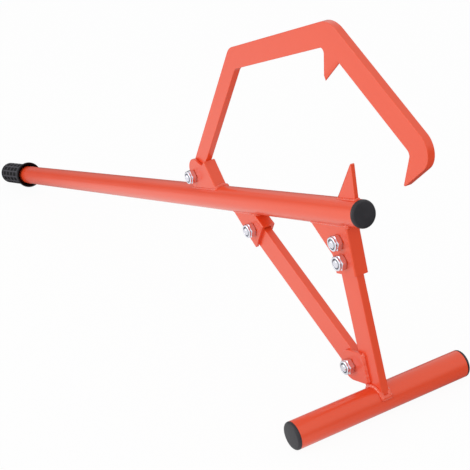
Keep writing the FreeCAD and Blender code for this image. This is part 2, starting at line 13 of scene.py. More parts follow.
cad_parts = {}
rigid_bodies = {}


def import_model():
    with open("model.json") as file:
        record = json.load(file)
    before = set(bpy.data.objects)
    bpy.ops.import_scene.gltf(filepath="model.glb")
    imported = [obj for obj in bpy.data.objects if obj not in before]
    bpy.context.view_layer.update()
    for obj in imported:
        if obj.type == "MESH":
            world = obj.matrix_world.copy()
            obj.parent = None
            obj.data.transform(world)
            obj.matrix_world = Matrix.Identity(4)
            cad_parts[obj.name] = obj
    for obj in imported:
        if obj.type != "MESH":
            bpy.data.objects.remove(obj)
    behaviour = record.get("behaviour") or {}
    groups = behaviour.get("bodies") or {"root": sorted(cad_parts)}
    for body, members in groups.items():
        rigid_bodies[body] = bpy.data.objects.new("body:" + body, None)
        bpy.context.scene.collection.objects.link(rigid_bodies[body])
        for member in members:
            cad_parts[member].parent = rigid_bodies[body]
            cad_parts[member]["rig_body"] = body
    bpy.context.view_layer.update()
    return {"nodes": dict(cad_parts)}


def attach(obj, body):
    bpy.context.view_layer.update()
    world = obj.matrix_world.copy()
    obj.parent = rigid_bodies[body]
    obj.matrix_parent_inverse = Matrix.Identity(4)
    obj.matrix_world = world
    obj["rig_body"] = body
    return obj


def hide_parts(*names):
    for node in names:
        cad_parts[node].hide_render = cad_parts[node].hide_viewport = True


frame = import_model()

MM = 0.001


# Handle tube: a round steel tube of 32 mm, cut square, shot-blasted and powder coated orange.
# It lies back on its grip, and its slope sets the directions of all the other pieces.
SEAM = 0.01 * MM
FLAT_ANGLE = math.radians(0.4)
EDGE_ANGLE = math.radians(34)
TUBE_EDGE = 0.5 * MM
COAT_COLOUR = (0.84, 0.062, 0.014)
COAT_THIN_COLOUR = (0.89, 0.090, 0.024)
COAT_DEEP_COLOUR = (0.76, 0.046, 0.010)
COAT_SHEEN = (1.0, 0.97, 0.80, 1)
BEVEL_STEPS = 3
SHADING_WEIGHT = 60


def closed_copy(node):
    """A node's surface as one closed mesh, its flat faces whole."""
    work = bmesh.new()
    work.from_mesh(frame["nodes"][node].data)
    bmesh.ops.remove_doubles(work, verts=work.verts, dist=SEAM)
    bmesh.ops.dissolve_limit(work, angle_limit=FLAT_ANGLE, verts=work.verts, edges=work.edges)
    return work


def stance_of(node):
    """The matrix from the tool's frame to the floor's, and the radius, from a sloping tube's ends."""
    work = closed_copy(node)
    points = [vertex.co.copy() for vertex in work.verts]
    work.free()
    middle = sum(points, Vector()).x / len(points)
    tail, head = [sum(end, Vector()) / len(end) for end in (
        [point for point in points if point.x < middle],
        [point for point in points if point.x > middle],
    )]
    line = head - tail
    slope = math.atan2(line.z, line.x)
    radius = max((point - tail).cross(line.normalized()).length for point in points)
    return Matrix.Translation(head) @ Matrix.Rotation(-slope, 4, "Y"), radius


STANCE, HANDLE_RADIUS = stance_of("handle_tube")
UPRIGHT = STANCE.inverted()


def tool_box(node):
    """The lowest and highest corner of a node in the tool's own frame."""
    points = [UPRIGHT @ vertex.co for vertex in frame["nodes"][node].data.vertices]
    low = Vector(map(min, zip(*points)))
    high = Vector(map(max, zip(*points)))
    return low, high


class Wire:
    """One socket of a node tree, on which Python's operators add Math nodes."""

    def __init__(self, graph, socket):
        self.graph = graph
        self.socket = socket

    def maths(self, operation, *values):
        return self.graph.add("ShaderNodeMath", dict(enumerate(values)), operation=operation)

    def __add__(self, other):
        return self.maths("ADD", self, other)

    def __sub__(self, other):
        return self.maths("SUBTRACT", self, other)

    def __mul__(self, other):
        return self.maths("MULTIPLY", self, other)

    def __truediv__(self, other):
        return self.maths("DIVIDE", self, other)

    def __rsub__(self, other):
        return self.maths("SUBTRACT", other, self)

    __radd__ = __add__
    __rmul__ = __mul__


class Graph:
    """A node tree under construction."""

    def __init__(self, tree):
        self.tree = tree

    def add(self, kind, inputs=None, output=0, **settings):
        """Adds a node: what it is comes first, then the values or links of its inputs."""
        node = self.tree.nodes.new(kind)
        for name, value in settings.items():
            setattr(node, name, value)
        for key, value in (inputs or {}).items():
            if isinstance(value, Wire):
                self.tree.links.new(value.socket, node.inputs[key])
            else:
                node.inputs[key].default_value = value
        return Wire(self, node.outputs[output] if node.outputs else None)

    def noise(self, where, scale, detail=2.0, roughness=0.5):
        return self.add("ShaderNodeTexNoise", {"Vector": where, "Scale": scale, "Detail": detail,
                                               "Roughness": roughness})

    def blend(self, factor, first, second):
        """A colour between two others, each a plain colour or a wire."""
        ends = [colour if isinstance(colour, Wire) else (*colour, 1) for colour in (first, second)]
        return self.add("ShaderNodeMix", {"Factor": factor, 6: ends[0], 7: ends[1]}, output=2,
                        data_type="RGBA")

    def grade(self, value, low, high, start=0.0, **settings):
        """Rises from its start to 1 as the value goes from low to high."""
        return self.add("ShaderNodeMapRange", {"Value": value, 1: low, 2: high, 3: start, 4: 1.0}, **settings)


def empty_graph(owner):
    """The node tree of a material or world, cleared."""
    owner.use_nodes = True
    owner.node_tree.nodes.clear()
    return Graph(owner.node_tree)


def new_material(name):
    """A material with an empty tree. Gives it, its graph and its object coordinates."""
    material = bpy.data.materials.new(name)
    graph = empty_graph(material)
    return material, graph, graph.add("ShaderNodeTexCoord", output="Object")


def finish_surface(graph, bump_height, bump_distance, bump_strength, **sockets):
    """Ends a material in one Principled shader over a bump."""
    bump = graph.add("ShaderNodeBump", {"Height": bump_height, "Distance": bump_distance,
                                        "Strength": bump_strength})
    inputs = {name.replace("_", " "): value for name, value in sockets.items()}
    shader = graph.add("ShaderNodeBsdfPrincipled", {**inputs, "Normal": bump})
    graph.add("ShaderNodeOutputMaterial", {"Surface": shader})


def powder_coat(name, flow=0.0):
    """Orange powder coat: orange peel, small pinholes, and a tone that drifts along the steel.

    A flow of 1 is the coat on a lumpy weld, where it sets thicker and glossier."""
    material, graph, where = new_material(name)
    drift = graph.noise(where, 9.0, 3.0)
    fine = graph.noise(where, 420.0, 2.0)
    peel = graph.noise(where, 640.0, 1.5)
    grit = graph.noise(where, 2600.0, 1.0)
    tone = graph.blend(drift, COAT_DEEP_COLOUR, COAT_THIN_COLOUR)
    even = graph.blend(0.62, tone, COAT_COLOUR)
    colour = graph.blend(fine * 0.16, even, COAT_DEEP_COLOUR)
    finish_surface(graph, peel + grit * 0.35, 0.03 * MM, 0.55, Base_Color=colour,
                   Roughness=drift * 0.07 + fine * 0.06 + (0.27 - flow * 0.07),
                   Coat_Weight=drift * 0.1 + (0.24 + flow * 0.5), Coat_Roughness=0.16 - flow * 0.08,
                   Specular_IOR_Level=0.68, Specular_Tint=COAT_SHEEN)
    return material


def settle(piece):
    """Turns a piece's modifiers into its plain mesh."""
    bpy.context.view_layer.update()
    scene_now = bpy.context.evaluated_depsgraph_get()
    mesh = bpy.data.meshes.new_from_object(piece.evaluated_get(scene_now))
    piece.modifiers.clear()
    piece.data = mesh


def even_shading(piece):
    """Lets large flat faces keep flat, and the small ones between them turn the light."""
    weighted = piece.modifiers.new("shading", "WEIGHTED_NORMAL")
    weighted.weight = SHADING_WEIGHT
    settle(piece)


def new_piece(name, mesh):
    piece = bpy.data.objects.new(name, mesh)
    bpy.context.scene.collection.objects.link(piece)
    return piece


def finished(node, edge, clamp=False):
    """Coats a copy of a CAD node, its cut edges rounded, which then stands for the node.

    A clamp keeps the rounding off a folded plate's bends."""
    mesh = bpy.data.meshes.new(f"finished_{node}")
    work = closed_copy(node)
    for face in work.faces:
        face.smooth = True
    work.to_mesh(mesh)
    work.free()
    piece = new_piece(f"finished_{node}", mesh)
    piece.data.materials.append(ORANGE)
    bevel = piece.modifiers.new("rounding", "BEVEL")
    bevel.width = edge
    bevel.segments = BEVEL_STEPS
    bevel.limit_method = "ANGLE"
    bevel.angle_limit = EDGE_ANGLE
    bevel.use_clamp_overlap = clamp
    even_shading(piece)
    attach(piece, frame["nodes"][node]["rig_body"])
    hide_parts(node)


ORANGE = powder_coat("orange_powder_coat")
finished("handle_tube", TUBE_EDGE)


# Grip: a soft black sleeve with a closed end, pushed over the tube. Its flared collar stops the
# hand, and twelve lengthwise ribs crossed by rings leave rows of shallow pockets between them.
# the pocket colour is painted shade, and the sheen colour is a painted reflection on the ribs
RUBBER_POCKET_SHADE_COLOUR = (0.003, 0.003, 0.004)
RUBBER_SMOOTH_COLOUR = (0.012, 0.012, 0.014)
RUBBER_PAINTED_SHEEN_COLOUR = (0.075, 0.071, 0.084)
GRIP_RADIUS = 19.2 * MM
GRIP_STEPS = 216
GRIP_PITCH = 0.8 * MM
GRIP_ROWS = 12
RIB_WIDTH = 2.6 * MM
RING_WIDTH = 3.4 * MM
RING_PITCH = 20.0 * MM
RING_START = 14.0 * MM
POCKET_COUNT = 4
POCKET_DEPTH = 1.5 * MM
POCKET_EDGE = 0.8 * MM
GRIP_END_ROUND = 2.0 * MM
COLLAR_WIDTH = 5.0 * MM
COLLAR_SLOPE = 3.4 * MM
MOUTH_RADIUS = 21.0 * MM
MOUTH_DEPTH = 12.0 * MM
COLLAR_LIP = 1.1 * MM
END_PITCH = 2.0 * MM
END_WALL = 6.0 * MM
GRIP_FIT = 0.1 * MM


def turned(name, profile, turns, reach=lambda turn: math.inf):
    """A profile of distances and radii, turned about the X axis.

    It goes out as far as each direction reaches, and closes where its ends meet or touch the axis."""
    work = bmesh.new()
    rings = []
    for along, radius in profile:
        ring = []
        for turn in turns:
            spoke = min(radius, reach(turn))
            ring.append(work.verts.new((along, spoke * math.cos(turn), spoke * math.sin(turn))))
        rings.append(ring)
    for ring, after in zip(rings, rings[1:]):
        for step in range(len(turns)):
            beside = (step + 1) % len(turns)
            work.faces.new((ring[step], ring[beside], after[beside], after[step]))
    bmesh.ops.remove_doubles(work, verts=work.verts, dist=SEAM)
    bmesh.ops.recalc_face_normals(work, faces=work.faces)
    for face in work.faces:
        face.smooth = True
    mesh = bpy.data.meshes.new(name)
    work.to_mesh(mesh)
    work.free()
    return mesh


def round_of(steps):
    """The directions of an even circle of steps."""
    return [math.tau * step / steps for step in range(steps)]


def quarter(centre, radius, start, stop, count):
    """Points of an arc in the profile's plane, from one angle to another in degrees."""
    angles = [math.radians(start + (stop - start) * step / count) for step in range(count + 1)]
    return [(centre[0] + radius * math.cos(turn), centre[1] + radius * math.sin(turn)) for turn in angles]


def run(start, stop, pitch):
    """Points strictly between two ends of a straight run of a profile, at an even pitch."""
    count = max(1, round(math.dist(start, stop) / pitch))
    shares = [step / count for step in range(1, count)]
    return [tuple(near + (far - near) * share for near, far in zip(start, stop)) for share in shares]


def new_tree(name, sockets):
    """A Geometry Nodes tree with named inputs. Gives its graph and the wires of its inputs."""
    tree = bpy.data.node_groups.new(name, "GeometryNodeTree")
    tree.interface.new_socket("Geometry", in_out="OUTPUT", socket_type="NodeSocketGeometry")
    for label, kind in {"Geometry": "Geometry", **sockets, "Material": "Material"}.items():
        tree.interface.new_socket(label, in_out="INPUT", socket_type=f"NodeSocket{kind}")
    graph = Graph(tree)
    entry = tree.nodes.new("NodeGroupInput")
    return graph, {socket.name: Wire(graph, socket) for socket in entry.outputs if socket.name}


def end_tree(graph, geometry, material):
    """Ends a Geometry Nodes tree in a plain mesh with its material."""
    real = graph.add("GeometryNodeRealizeInstances", {0: geometry})
    dressed = graph.add("GeometryNodeSetMaterial", {"Geometry": real, "Material": material})
    graph.add("NodeGroupOutput", {0: dressed})


def grow(name, mesh, graph, values):
    """Runs a tree on a mesh and gives the result as a plain piece, set down in the floor's frame."""
    piece = new_piece(name, mesh)
    modifier = piece.modifiers.new(name, "NODES")
    modifier.node_group = graph.tree
    for item in graph.tree.interface.items_tree:
        if item.in_out == "INPUT" and item.name in values:
            modifier[item.identifier] = values[item.name]
    settle(piece)
    piece.data.transform(STANCE)
    return piece


def parts_of(graph, vector):
    """The three parts of a vector's wire."""
    return [graph.add("ShaderNodeSeparateXYZ", {0: vector}, output=axis) for axis in range(3)]


def from_middle(value):
    """How far a value is from halfway between two whole numbers, at most a half."""
    return value.maths("ABSOLUTE", value.maths("FRACT", value) - 0.5)


def pocket_tree():
    """Presses rows of pockets into a sleeve that lies along X."""
    names = ("Start", "Ring Pitch", "Ring Width", "Count", "Rows", "Rib Width", "Edge", "Depth", "Radius")
    graph, given = new_tree("grip_pockets", dict.fromkeys(names, "Float"))
    along, across, up = parts_of(graph, graph.add("GeometryNodeInputPosition"))
    radius = along.maths("SQRT", across * across + up * up)
    cells = (along - given["Start"]) / given["Ring Pitch"]
    from_ring = (0.5 - from_middle(cells)) * given["Ring Pitch"] - given["Ring Width"] / 2
    turn = across.maths("ARCTAN2", up, across) / math.tau + 1.0
    rows = turn * given["Rows"]
    from_rib = (0.5 - from_middle(rows)) * math.tau * given["Radius"] / given["Rows"] - given["Rib Width"] / 2
    walls = [graph.grade(distance / given["Edge"], 0.0, 1.0, interpolation_type="SMOOTHSTEP")
             for distance in (from_ring, from_rib)]
    inside = cells.maths("GREATER_THAN", cells, 0.0) * cells.maths("LESS_THAN", cells, given["Count"])
    outer = radius.maths("GREATER_THAN", radius, given["Radius"] - given["Depth"])
    press = walls[0] * walls[1] * inside * outer * given["Depth"] / radius
    offset = graph.add("ShaderNodeCombineXYZ", {1: across * press * -1.0, 2: up * press * -1.0})
    moved = graph.add("GeometryNodeSetPosition", {"Geometry": given["Geometry"], "Offset": offset})
    end_tree(graph, moved, given["Material"])
    return graph


def tool_frame(graph, where):
    """Distance along the tool and distance out from the handle's axis, in a material."""
    laid = graph.add("ShaderNodeMapping", {"Vector": where, "Location": STANCE.to_translation(),
                                           "Rotation": STANCE.to_euler()}, vector_type="TEXTURE")
    along, across, up = parts_of(graph, laid)
    return along, along.maths("SQRT", across * across + up * up)


def grip_rubber():
    """Soft black rubber with a fine mould grain; its pockets are painted darker as painted shade, and its
    ribs along the pocketed middle are painted grey as a painted reflection.
    """
    material, graph, where = new_material("black_grip_rubber")
    mottle = graph.noise(where, 55.0, 4.0)
    grain = graph.noise(where, 2300.0, 2.0)
    along, out = tool_frame(graph, where)
    # painted shade in the pockets, and a painted reflection on the ribs of the pocketed middle
    proud = graph.grade(out, GRIP_RADIUS - POCKET_DEPTH * 0.7, GRIP_RADIUS - POCKET_DEPTH * 0.1)
    middle = grip_low.x + RING_START + RING_PITCH * POCKET_COUNT / 2
    off = along.maths("ABSOLUTE", along - middle)
    sheen_zone = graph.grade(off, RING_PITCH * (POCKET_COUNT / 2 + 0.2), RING_PITCH * POCKET_COUNT / 2)
    rib_sheen = graph.blend(sheen_zone * (mottle * 0.8 + 0.3), RUBBER_SMOOTH_COLOUR, RUBBER_PAINTED_SHEEN_COLOUR)
    colour = graph.blend(proud, RUBBER_POCKET_SHADE_COLOUR, rib_sheen)
    finish_surface(graph, grain, 0.04 * MM, 0.6, Base_Color=colour, Roughness=0.48 + mottle * 0.14,
                   Specular_IOR_Level=0.16)
    return material


grip_low, grip_high = tool_box("handle_grip")
COLLAR_RADIUS = grip_high.y
BORE_RADIUS = HANDLE_RADIUS + GRIP_FIT
end_round = (grip_low.x + GRIP_END_ROUND, GRIP_RADIUS - GRIP_END_ROUND)
flare_start = (grip_high.x - COLLAR_WIDTH - COLLAR_SLOPE, GRIP_RADIUS)
collar_back = (grip_high.x - COLLAR_WIDTH, COLLAR_RADIUS - COLLAR_LIP / 2)
back_lip = (grip_high.x - COLLAR_WIDTH + COLLAR_LIP, COLLAR_RADIUS - COLLAR_LIP)
front_lip = (grip_high.x - COLLAR_LIP, COLLAR_RADIUS - COLLAR_LIP)
grip_profile = [(grip_low.x, 0.0)]
grip_profile += run((grip_low.x, 0.0), (grip_low.x, GRIP_RADIUS - GRIP_END_ROUND), END_PITCH)
grip_profile += quarter(end_round, GRIP_END_ROUND, 180, 90, 12)
grip_profile += run((grip_low.x + GRIP_END_ROUND, GRIP_RADIUS), flare_start, GRIP_PITCH)
grip_profile += [flare_start] + run(flare_start, collar_back, GRIP_PITCH)
grip_profile += quarter(back_lip, COLLAR_LIP, 150, 90, 4)
grip_profile += quarter(front_lip, COLLAR_LIP, 90, -90, 8)
grip_profile += [(grip_high.x - 2 * COLLAR_LIP, MOUTH_RADIUS)]
grip_profile += [(grip_high.x - MOUTH_DEPTH, BORE_RADIUS), (grip_low.x + END_WALL, BORE_RADIUS),
                 (grip_low.x + END_WALL, 0.0)]
grip = grow("ribbed_grip", turned("ribbed_grip", grip_profile, round_of(GRIP_STEPS)), pocket_tree(), {
    "Start": grip_low.x + RING_START - RING_WIDTH / 2, "Ring Pitch": RING_PITCH, "Ring Width": RING_WIDTH,
    "Count": float(POCKET_COUNT), "Rows": float(GRIP_ROWS), "Rib Width": RIB_WIDTH, "Edge": POCKET_EDGE,
    "Depth": POCKET_DEPTH, "Radius": GRIP_RADIUS, "Material": grip_rubber(),
})
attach(grip, "lifter")
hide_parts("handle_grip")


# Plugs: three black nylon plugs, one in the handle's head and two in the foot bar. Each is
# hammered into its tube by a ribbed stem until the domed flange closes the end.
PLUG_COLOUR = (0.017, 0.016, 0.020)
PLUG_PALE_COLOUR = (0.030, 0.029, 0.035)
PLUG_CREST = 4.4 * MM
PLUG_CROWN = 0.45 * MM
PLUG_RIM = 3.2 * MM
PLUG_LEAN = 5
PLUG_STEM = 18.0 * MM
PLUG_RIB = 0.6 * MM
PLUG_RIB_WIDTH = 1.5 * MM
PLUG_RIB_PITCH = 5.0 * MM
PLUG_RIB_COUNT = 3
PLUG_WALL = 2.2 * MM
PLUG_STEPS = 96
DOME_STEPS = 12
DOME_FALL = 2.2
TUBE_WALL = 2.0 * MM


def plug_plastic():
    """Satin black moulding, with a fine spark-eroded grain."""
    material, graph, where = new_material("black_plug_plastic")
    mottle = graph.noise(where, 90.0, 3.0)
    grain = graph.noise(where, 1700.0, 3.0, 0.6)
    colour = graph.blend(mottle, PLUG_COLOUR, PLUG_PALE_COLOUR)
    finish_surface(graph, grain, 0.05 * MM, 0.7, Base_Color=colour, Roughness=0.42 + mottle * 0.14,
                   Specular_IOR_Level=0.4)
    return material


def plug_profile(radius):
    """A plug's half section, from the middle of its dome round to the middle of its flange."""
    rim = radius - PLUG_RIM
    edge = rim + PLUG_RIM * math.sin(math.radians(PLUG_LEAN))
    shoulder = PLUG_CREST - PLUG_CROWN
    points = [(PLUG_CREST - PLUG_CROWN * (step / DOME_STEPS) ** DOME_FALL, edge * step / DOME_STEPS)
              for step in range(DOME_STEPS)]
    turn_in = shoulder - PLUG_RIM * math.cos(math.radians(PLUG_LEAN))
    points += quarter((turn_in, rim), PLUG_RIM, PLUG_LEAN, 90, DOME_STEPS)
    bore = radius - TUBE_WALL
    stem = bore - PLUG_RIB
    hollow = stem - PLUG_WALL
    points += [(0.0, radius), (0.0, stem)]
    for rib in range(1, PLUG_RIB_COUNT + 1):
        front = -PLUG_RIB_PITCH * rib
        points += [(front, stem), (front, bore), (front - PLUG_RIB_WIDTH, stem)]
    return points + [(-PLUG_STEM, stem), (-PLUG_STEM, hollow), (0.0, hollow), (0.0, 0.0)]


PLUG_BLACK = plug_plastic()
for node, side in (("head_plug", 0), ("foot_plug_left", 1), ("foot_plug_right", -1)):
    low, high = tool_box(node)
    middle = (low + high) / 2
    seat = Vector()
    if side:
        seat = Vector((middle.x, side * (max(abs(low.y), abs(high.y)) - PLUG_CREST), middle.z))
    mesh = turned(f"domed_{node}", plug_profile((high.z - low.z) / 2), round_of(PLUG_STEPS))
    mesh.transform(STANCE @ Matrix.Translation(seat) @ Matrix.Rotation(side * math.pi / 2, 4, "Z"))
    plug = new_piece(f"domed_{node}", mesh)
    mesh.materials.append(PLUG_BLACK)
    even_shading(plug)
    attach(plug, "lifter")
    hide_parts(node)


# Spike: a three-cornered steel plate that stands on the tube near the head and bites into the
# log from below. It is welded all round its foot and coated with the tube.
PLATE_EDGE = 0.6 * MM
BEAD_SIDES = 12
BEAD_STEP = 0.35 * MM
BEAD_PITCH = 1.9 * MM
BEAD_TAPER = 0.55
LUMPS = 180.0
TOUCHING = 0.12 * MM


def bead_tree():
    """Lays a rippled weld bead along the edges of a wire mesh."""
    names = ("Radius", "Ripple Pitch", "Ripple Depth", "Wander", "Step", "Taper")
    graph, given = new_tree("weld_bead", {**dict.fromkeys(names, "Float"), "Sides": "Int"})
    path = graph.add("GeometryNodeMeshToCurve", {"Mesh": given["Geometry"]})
    path = graph.add("GeometryNodeResampleCurve", {"Curve": path, "Length": given["Step"]}, mode="LENGTH")
    walked = graph.add("GeometryNodeSplineParameter", output="Length")
    whole = graph.add("GeometryNodeSplineLength", output="Length")
    beat = walked / given["Ripple Pitch"]
    beat = beat.maths("FRACT", beat)
    ripple = 1.0 - given["Ripple Depth"] * beat * beat
    drift = graph.add("ShaderNodeTexNoise", {"Scale": LUMPS, "Detail": 1.0})
    near_end = walked.maths("MINIMUM", walked, whole - walked) / given["Radius"]
    near_end = near_end.maths("MINIMUM", near_end, 1.0)
    tapered = 1.0 - given["Taper"] * (1.0 - near_end) * (1.0 - near_end)
    thick = ripple * tapered * (1.0 + (drift - 0.5) * given["Wander"]) * given["Radius"]
    ring = graph.add("GeometryNodeCurvePrimitiveCircle", {"Resolution": given["Sides"], "Radius": 1.0})
    bead = graph.add("GeometryNodeCurveToMesh", {
        "Curve": path, "Profile Curve": ring, "Scale": thick, "Fill Caps": True,
    })
    smooth = graph.add("GeometryNodeSetShadeSmooth", {"Geometry": bead})
    end_tree(graph, smooth, given["Material"])
    return graph


BEAD = bead_tree()
WELD_COAT = powder_coat("weld_powder_coat", flow=1.0)


def weld(name, nodes, touches, radius, ripple, wander, taper=BEAD_TAPER):
    """A weld bead along the outer edges by which pieces touch what carries them.

    Ripple and wander are the shares of its radius by which it varies. Its ends taper, and a
    bead that closes on itself has a taper of 0."""
    work = bmesh.new()
    for node in nodes:
        source = closed_copy(node)
        source.transform(UPRIGHT)
        for edge in source.edges:
            if edge.calc_face_angle(0) > EDGE_ANGLE and all(touches(vertex.co) for vertex in edge.verts):
                work.edges.new([work.verts.new(vertex.co) for vertex in edge.verts])
        source.free()
    bmesh.ops.remove_doubles(work, verts=work.verts, dist=SEAM)
    mesh = bpy.data.meshes.new(name)
    work.to_mesh(mesh)
    work.free()
    piece = grow(name, mesh, BEAD, {
        "Radius": radius, "Ripple Pitch": BEAD_PITCH, "Ripple Depth": ripple, "Wander": wander,
        "Step": BEAD_STEP, "Taper": taper, "Sides": BEAD_SIDES, "Material": WELD_COAT,
    })
    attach(piece, "lifter")


def on_handle(point):
    """Whether a point lies on the handle tube's outer surface."""
    return abs(math.hypot(point.y, point.z) - HANDLE_RADIUS) < TOUCHING


SPIKE_BEAD = 1.7 * MM
finished("spike", PLATE_EDGE)
weld("spike_weld", ["spike"], on_handle, SPIKE_BEAD, 0.08, 0.5, taper=0.0)


# Hook bracket: 4 mm plate folded into two eared cheeks and a web. The ears hold the hook's bolt,
# and the web's flush top edge stops the hook. Its foot is coped to the tube and welded on.
CHEEK_BEAD = 1.2 * MM
WEB_BEAD = 3.3 * MM
WEB_CURVE = 3.0 * MM


def weld_bracket(node):
    """Ground seams along a folded bracket's cheeks, and a lumpy one along the outside of its web."""
    cheek = tool_box(node)[1].y - TOUCHING
    points = [UPRIGHT @ vertex.co for vertex in frame["nodes"][node].data.vertices]
    front = max(point.x for point in points if on_handle(point)) - WEB_CURVE
    weld(f"{node}_cheek_seam", [node], lambda point: on_handle(point) and abs(point.y) > cheek,
         CHEEK_BEAD, 0.04, 0.25)
    weld(f"{node}_web_weld", [node], lambda point: on_handle(point) and point.x > front,
         WEB_BEAD, 0.07, 0.9)


finished("hook_bracket", PLATE_EDGE)
weld_bracket("hook_bracket")


# Hook: cut from 9 mm plate in one piece, with an arm, a crown, a tooth and a claw. It swings on
# the bracket's bolt, and lets the claw drop over logs of any size that the tool takes.
HOOK_EDGE = 0.7 * MM
finished("hook", HOOK_EDGE)


# Leg and its bracket: a 32 x 10 mm flat bar, bolted twice between the cheeks of a folded gusset
# that is welded under the head. The bar's foot is coped to the foot bar and welded all round.
BAR_EDGE = 0.9 * MM
finished("leg_bracket", PLATE_EDGE, clamp=True)
weld_bracket("leg_bracket")
finished("leg", BAR_EDGE)


# Foot bar: a round tube of 33.5 mm across the leg's foot, the tool's stand on the ground.
# It is welded to the leg and coated in one go.
foot_low, foot_high = tool_box("foot_bar")
FOOT_CENTRE = (foot_low + foot_high) / 2
FOOT_RADIUS = (foot_high.z - foot_low.z) / 2
FOOT_BEAD = 3.4 * MM


def on_foot(point):
    """Whether a point lies on the foot bar's outer surface."""
    out = math.hypot(point.x - FOOT_CENTRE.x, point.z - FOOT_CENTRE.z)
    return abs(out - FOOT_RADIUS) < TOUCHING


finished("foot_bar", TUBE_EDGE)
weld("foot_weld", ["leg"], on_foot, FOOT_BEAD, 0.04, 0.6, taper=0.0)


# Brace, its bracket and lugs: a second flat bar from a folded channel under the handle down to
# two round-ended lug plates, which are welded on the leg's faces and take the lower bolt.
LUG_BEAD = 4.0 * MM
finished("brace_bracket", PLATE_EDGE, clamp=True)
weld_bracket("brace_bracket")
finished("brace", BAR_EDGE)
for node in ("lug_plate_near", "lug_plate_far"):
    finished(node, PLATE_EDGE)
leg_low, leg_high = tool_box("leg")


def on_leg(point):
    """Whether a point lies on one of the leg's wide faces."""
    return abs(abs(point.y) - leg_high.y) < TOUCHING and point.x > leg_low.x - TOUCHING


weld("lug_weld", ["lug_plate_near", "lug_plate_far"], on_leg, LUG_BEAD, 0.03, 0.3)


# Fasteners: five M10 hexagon bolts and lock nuts, bright zinc plated. Each nut's round collar grips a nylon
# ring, coloured darker as painted shade of its recess, and the bolt's chamfered end stands just proud of it.
ZINC_COLOUR = (0.76, 0.80, 0.88)
ZINC_WARM_COLOUR = (0.80, 0.76, 0.82)
# the nylon's colour is partly its own dark blue-grey and partly painted shade of the recess it sits in
NYLON_SHADED_COLOUR = (0.055, 0.085, 0.105)
NYLON_SCUFF_COLOUR = (0.16, 0.19, 0.21)
HEX_FLATS = 17.0 * MM
HEX_CORNER = 9.72 * MM
HEX_CHAMFER = 7.9 * MM
CHAMFER_HEIGHT = 1.05 * MM
CHAMFER_PITCH = 0.16 * MM
HEAD_HEIGHT = 6.4 * MM
HEAD_DISH = 0.25 * MM
DISH_RADIUS = 7.3 * MM
DISH_FLOOR = 6.9 * MM
WASHER_RADIUS = 8.1 * MM
WASHER_HEIGHT = 0.3 * MM
SHANK = 5.0 * MM
END_FACE = 3.7 * MM
END_BREAK = (0.15 * MM, 4.0 * MM)
END_CHAMFER = 1.1 * MM
THREAD_START = 1.3 * MM
THREAD_ROOT = 4.45 * MM
THREAD_PITCH = 1.5 * MM
THREAD_GAP = 0.6 * MM
THREAD_COUNT = 2
NUT_HEX = 7.0 * MM
NUT_SEAT = 0.1 * MM
NUT_HEIGHT = 10.0 * MM
NUT_COLLAR = 8.7 * MM
COLLAR_FOOT = 0.15 * MM
COLLAR_FLARE = 0.9 * MM
COLLAR_ROUND = 1.2 * MM
RECESS_RADIUS = 6.3 * MM
RECESS_DEPTH = 2.8 * MM
RECESS_ROUND = 0.3 * MM
RING_HEIGHT = 2.2 * MM
RING_SWELL = 0.7 * MM


def bright_zinc():
    """Bright zinc plate: nearly a mirror, a little clouded, with faint drawing lines."""
    material, graph, where = new_material("bright_zinc")
    cloud = graph.noise(where, 160.0, 3.0)
    lines = graph.noise(where, 1900.0, 2.0)
    colour = graph.blend(cloud, ZINC_COLOUR, ZINC_WARM_COLOUR)
    finish_surface(graph, lines, 0.02 * MM, 0.35, Base_Color=colour, Metallic=1.0,
                   Roughness=0.10 + cloud * 0.12)
    return material


def dark_nylon():
    """Dark nylon, its colour darkened further as painted shade of the nut's recess, and scuffed where the
    bolt's thread has cut into it.
    """
    material, graph, where = new_material("dark_nylon")
    scuff = graph.noise(where, 1300.0, 3.0)
    colour = graph.blend(scuff, NYLON_SHADED_COLOUR, NYLON_SCUFF_COLOUR)
    finish_surface(graph, scuff, 0.03 * MM, 0.5, Base_Color=colour, Roughness=0.34 + scuff * 0.15)
    return material


def hexagon(turn):
    """How far a hexagon reaches in one direction, its corners just blunted."""
    return min(HEX_FLATS / 2 / math.cos(turn % (math.pi / 3) - math.pi / 6), HEX_CORNER)


def slope(start, stop):
    """A cone of a profile, finely stepped, so that it cuts a hexagon's corners in true curves."""
    return [start] + run(start, stop, CHAMFER_PITCH) + [stop]


# directions round a fastener in degrees, closest together at the hexagon's corners
SIDE_TURNS = (1, 4, 8, 13, 18, 24, 30, 36, 42, 47, 52, 56, 59)
HEX_TURNS = [math.radians(side * 60 + turn) for side in range(6) for turn in SIDE_TURNS]


def bolt_profile(length):
    """A bolt about X: its head's seat at 0, its head towards +X and its chamfered end towards -X."""
    end = -length
    dish = HEAD_HEIGHT - HEAD_DISH
    points = [(end, 0.0), (end, END_FACE), (end + END_BREAK[0], END_BREAK[1]), (end + END_CHAMFER, SHANK)]
    for groove in range(THREAD_COUNT):
        start = end + THREAD_START + THREAD_PITCH * groove
        points += [(start, SHANK), (start + THREAD_GAP, THREAD_ROOT), (start + 2 * THREAD_GAP, SHANK)]
    points += [(0.0, SHANK), (0.0, WASHER_RADIUS), (WASHER_HEIGHT, WASHER_RADIUS)]
    points += [(WASHER_HEIGHT, HEX_CORNER)]
    points += slope((HEAD_HEIGHT - CHAMFER_HEIGHT, HEX_CORNER), (HEAD_HEIGHT, HEX_CHAMFER))
    return points + [(HEAD_HEIGHT, DISH_RADIUS), (dish, DISH_FLOOR), (dish, 0.0)]


